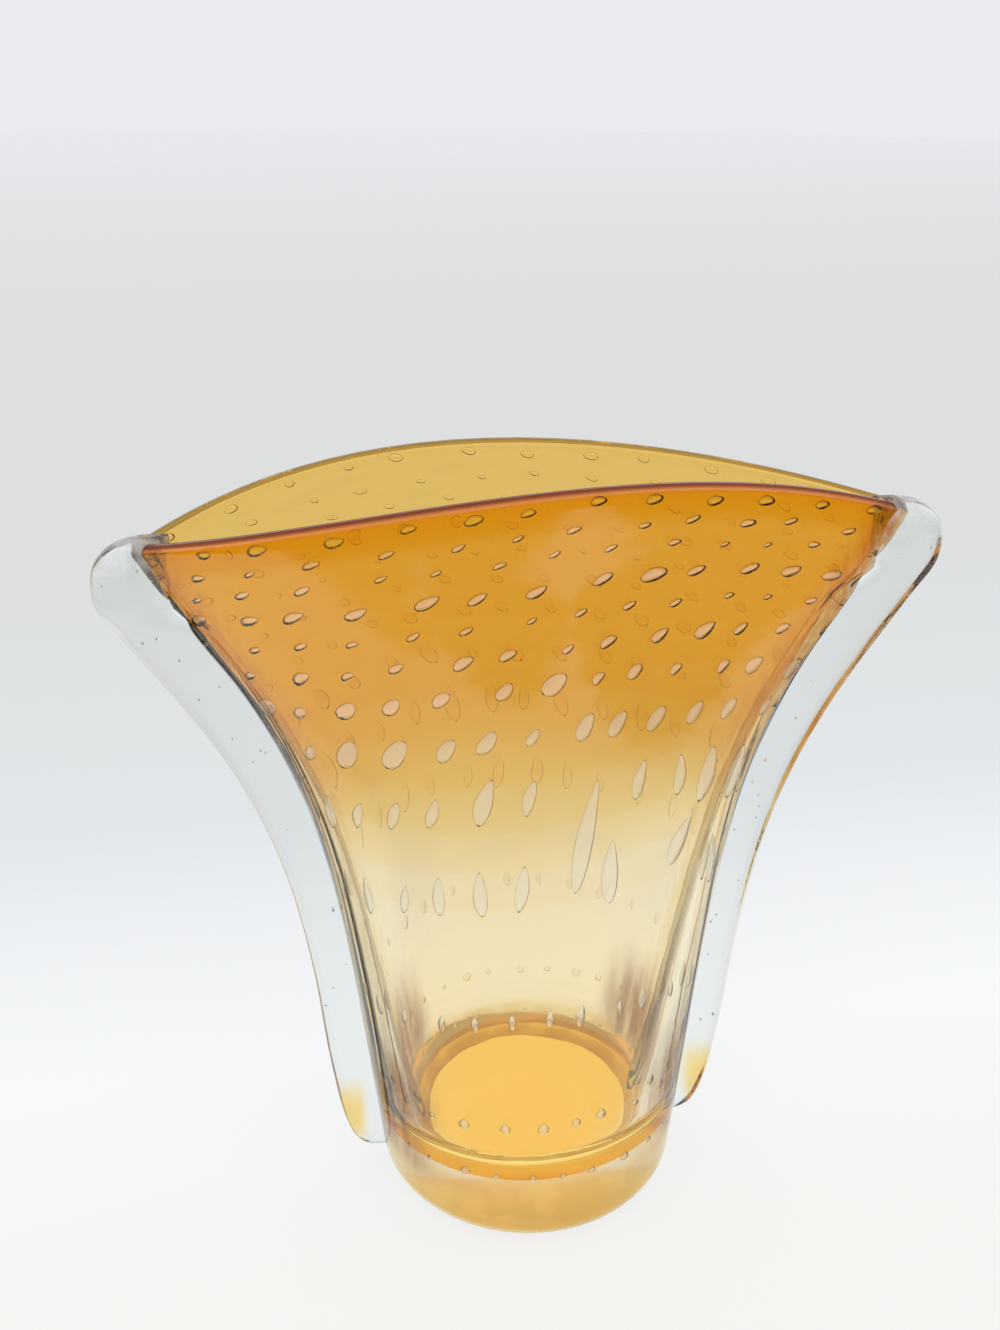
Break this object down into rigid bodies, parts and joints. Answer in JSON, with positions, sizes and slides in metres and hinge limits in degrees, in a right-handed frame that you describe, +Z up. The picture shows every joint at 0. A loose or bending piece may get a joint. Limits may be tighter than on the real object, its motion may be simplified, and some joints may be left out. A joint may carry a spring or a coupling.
{
  "type": "fan vase",
  "caption": "Hot-worked glass vase: a round foot flares into a flattened fan with an arched, lens-shaped mouth, an amber core in a clear casing and a clear trail up each side.",
  "frame": {"origin": "middle of the flat face that the foot rests on", "axes": "+X across the fan towards the mouth's narrow end, +Y from front to back, +Z up to the mouth"},
  "size_m": [0.2314, 0.089, 0.227],
  "materials": {
    "clear_glass": "fire-polished, colourless with a faint cool tint",
    "amber_glass": "fire-polished, amber that fades to straw half way down and deepens again at the floor"
  },
  "bodies": {
    "root": {"amber_core": "amber_glass", "clear_casing": "clear_glass", "left_trail": "clear_glass", "right_trail": "clear_glass"}
  },
  "joints": []
}
